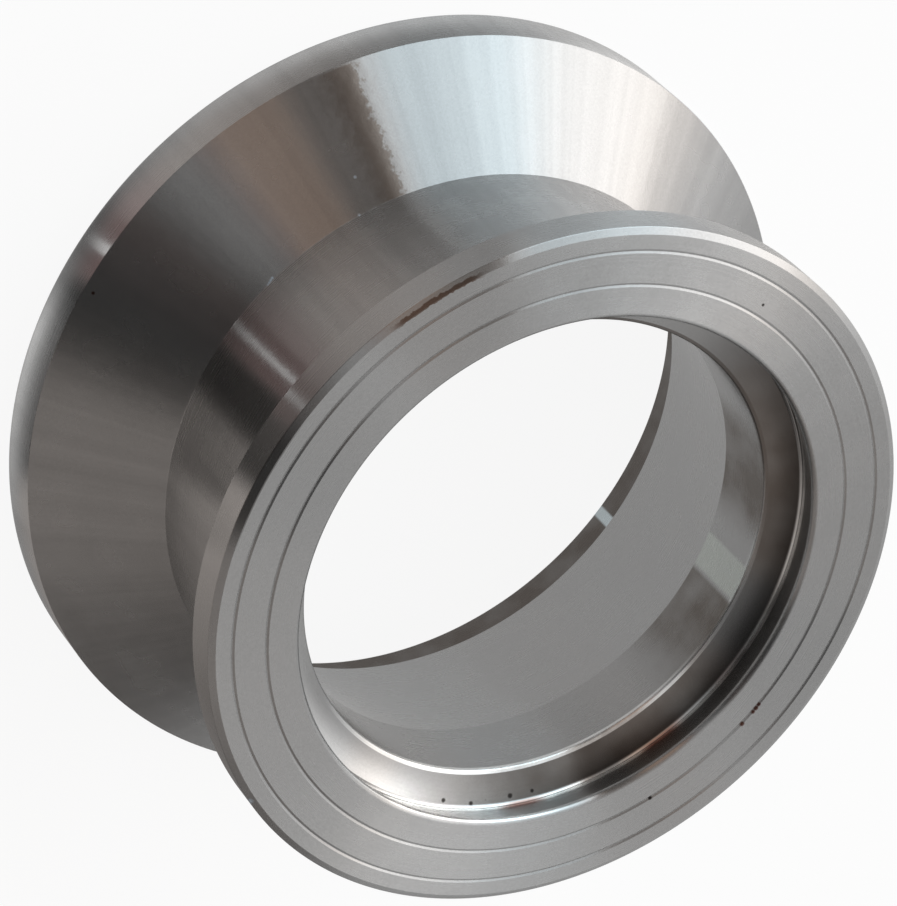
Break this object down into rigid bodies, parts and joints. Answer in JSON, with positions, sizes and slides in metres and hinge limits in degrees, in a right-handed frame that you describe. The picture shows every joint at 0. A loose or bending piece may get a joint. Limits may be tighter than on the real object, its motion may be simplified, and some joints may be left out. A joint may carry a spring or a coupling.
{
  "type": "sanitary clamp reducer",
  "caption": "One-piece turned steel reducer: a clamp flange at each end, a cone behind the large one, a plain neck, and a bore that widens through, with a stepped recess at both mouths.",
  "frame": {"origin": "centre of the large flange's face, on the axis of the bore", "axes": "+Z along the bore axis, from the large flange to the small flange; X and Y are free, the part is a body of revolution"},
  "size_m": [0.0725, 0.0726, 0.0338],
  "materials": {
    "turned_stainless": "fine turned, semi-bright"
  },
  "bodies": {
    "root": {"reducer_body": "turned_stainless"}
  },
  "joints": []
}
